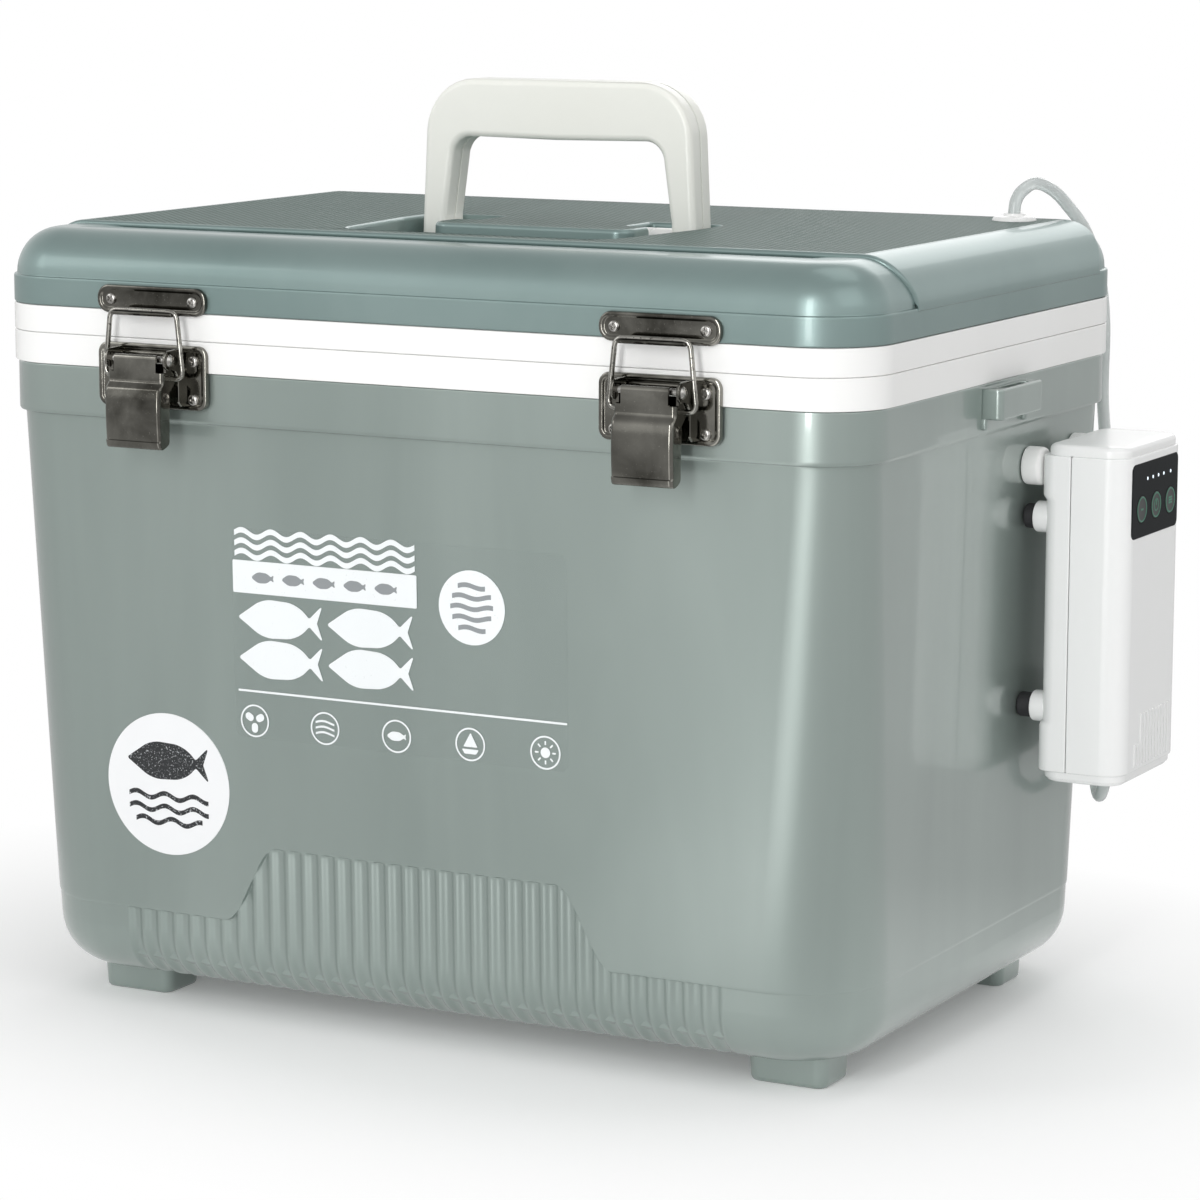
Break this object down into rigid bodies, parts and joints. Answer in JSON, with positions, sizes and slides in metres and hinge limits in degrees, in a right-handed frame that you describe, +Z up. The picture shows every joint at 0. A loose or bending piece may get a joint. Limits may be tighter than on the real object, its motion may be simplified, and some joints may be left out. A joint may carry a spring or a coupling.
{
  "type": "insulated live bait cooler with aerator pump",
  "caption": "Insulated live bait tub with a hinged, latched lid, a folding carry handle and a battery air pump hung on its end, with an air tube.",
  "frame": {"origin": "on the floor, under the middle of the whole object's bounding box, measured without the air tubes", "axes": "+Z up, +X along the tub's length towards the air pump, -Y towards the latched front"},
  "size_m": [0.4986, 0.337, 0.4375],
  "materials": {
    "tub_plastic": "pearl grey-green, glossy, fine texture",
    "lid_plastic": "pearl grey-green, glossy, fine texture",
    "liner_plastic": "smooth white, satin gloss",
    "foam": null,
    "sticker": "printed film with a clear coat",
    "clear_film": "clear film with white print",
    "gasket_rubber": "soft, matt",
    "white_plastic": "moulded white, satin",
    "handle_plastic": "moulded ivory, satin",
    "pin_steel": "turned bright",
    "latch_steel": "stainless sheet, polished, dark reflections",
    "wire_steel": "drawn stainless wire",
    "screw_steel": "polished pan head",
    "hinge_steel": "stainless sheet",
    "pump_plastic": "moulded white, satin gloss",
    "panel_black": "gloss black film",
    "button_rubber": "soft matt with a printed green ring",
    "light_lens": "small clear domes",
    "circuit_board": "green resin board",
    "battery_wrap": "blue shrink wrap",
    "pump_motor": "dark grey coil and valve block",
    "hose_rubber": "milky silicone",
    "outlet_plastic": "moulded barb, pale grey",
    "bumper_rubber": "black rubber",
    "tube_pvc": "milky clear flexible tube",
    "air_stone": "porous, blue grey"
  },
  "bodies": {
    "tub": {"tub_shell": "tub_plastic", "tub_liner": "liner_plastic", "tub_foam": "foam", "round_sticker": "sticker", "clear_label": "clear_film", "latch_base_left": "latch_steel", "latch_base_right": "latch_steel", "latch_rivet_left": "pin_steel", "latch_rivet_right": "pin_steel", "latch_base_screws": "screw_steel", "hinge_tub_leaf_left": "hinge_steel", "hinge_tub_leaf_right": "hinge_steel", "hinge_pin_left": "pin_steel", "hinge_pin_right": "pin_steel", "hinge_tub_screws": "screw_steel", "pump_rear_case": "pump_plastic", "pump_front_case": "pump_plastic", "pump_top_cap": "pump_plastic", "pump_bottom_cap": "pump_plastic", "pump_panel": "panel_black", "pump_lights": "light_lens", "pump_circuit_board": "circuit_board", "pump_battery": "battery_wrap", "pump_diaphragm_unit": "pump_motor", "pump_inner_hose": "hose_rubber", "pump_outlet": "outlet_plastic", "pump_bumpers": "bumper_rubber", "pump_hanger_knobs": "white_plastic", "pump_hanger_screws": "screw_steel", "air_tube": "tube_pvc", "inner_air_tube": "tube_pvc", "air_stone": "air_stone"},
    "lid": {"lid_shell": "lid_plastic", "lid_pan": "liner_plastic", "lid_foam": "foam", "lid_gasket": "gasket_rubber", "tube_grommet": "white_plastic", "strike_left": "latch_steel", "strike_right": "latch_steel", "strike_screws": "screw_steel", "hinge_lid_leaf_left": "hinge_steel", "hinge_lid_leaf_right": "hinge_steel", "hinge_lid_screws": "screw_steel", "handle_pin_left": "pin_steel", "handle_pin_right": "pin_steel"},
    "handle": {"handle": "handle_plastic", "handle_bush_left": "white_plastic", "handle_bush_right": "white_plastic"},
    "latch_lever_left": {"latch_lever_left": "latch_steel"},
    "latch_lever_right": {"latch_lever_right": "latch_steel"},
    "latch_bail_left": {"latch_bail_left": "wire_steel"},
    "latch_bail_right": {"latch_bail_right": "wire_steel"},
    "button_slow": {"pump_button_slow": "button_rubber"},
    "button_power": {"pump_button_power": "button_rubber"},
    "button_fast": {"pump_button_fast": "button_rubber"}
  },
  "joints": [
    {"name": "lid_hinge", "type": "hinge", "parent": "tub", "child": "lid", "pos_m": [-0.024, 0.1641, 0.322], "axis": [-1, 0, 0], "range_deg": [0, 95], "deforming": ["air_tube", "inner_air_tube"]},
    {"name": "handle_fold", "type": "hinge", "parent": "lid", "child": "handle", "pos_m": [-0.024, 0.005, 0.36], "axis": [1, 0, 0], "range_deg": [0, 90]},
    {"name": "latch_left_lever", "type": "hinge", "parent": "tub", "child": "latch_lever_left", "pos_m": [-0.1548, -0.1615, 0.314], "axis": [-1, 0, 0], "range_deg": [0, 150]},
    {"name": "latch_left_bail", "type": "hinge", "parent": "latch_lever_left", "child": "latch_bail_left", "pos_m": [-0.1548, -0.1579, 0.3054], "axis": [-1, 0, 0], "range_deg": [-160, 0]},
    {"name": "latch_right_lever", "type": "hinge", "parent": "tub", "child": "latch_lever_right", "pos_m": [0.1068, -0.1615, 0.314], "axis": [-1, 0, 0], "range_deg": [0, 150]},
    {"name": "latch_right_bail", "type": "hinge", "parent": "latch_lever_right", "child": "latch_bail_right", "pos_m": [0.1068, -0.1579, 0.3054], "axis": [-1, 0, 0], "range_deg": [-160, 0]},
    {"name": "button_slow", "type": "slide", "parent": "tub", "child": "button_slow", "axis": [-1, 0, 0], "range_m": [0, 0.0006], "stiffness_N_per_m": 2500},
    {"name": "button_power", "type": "slide", "parent": "tub", "child": "button_power", "axis": [-1, 0, 0], "range_m": [0, 0.0006], "stiffness_N_per_m": 2500},
    {"name": "button_fast", "type": "slide", "parent": "tub", "child": "button_fast", "axis": [-1, 0, 0], "range_m": [0, 0.0006], "stiffness_N_per_m": 2500}
  ],
  "couplings": [
    {"joint": "latch_left_bail", "follows": "latch_left_lever", "ratio": -1.04},
    {"joint": "latch_right_bail", "follows": "latch_right_lever", "ratio": -1.04}
  ]
}
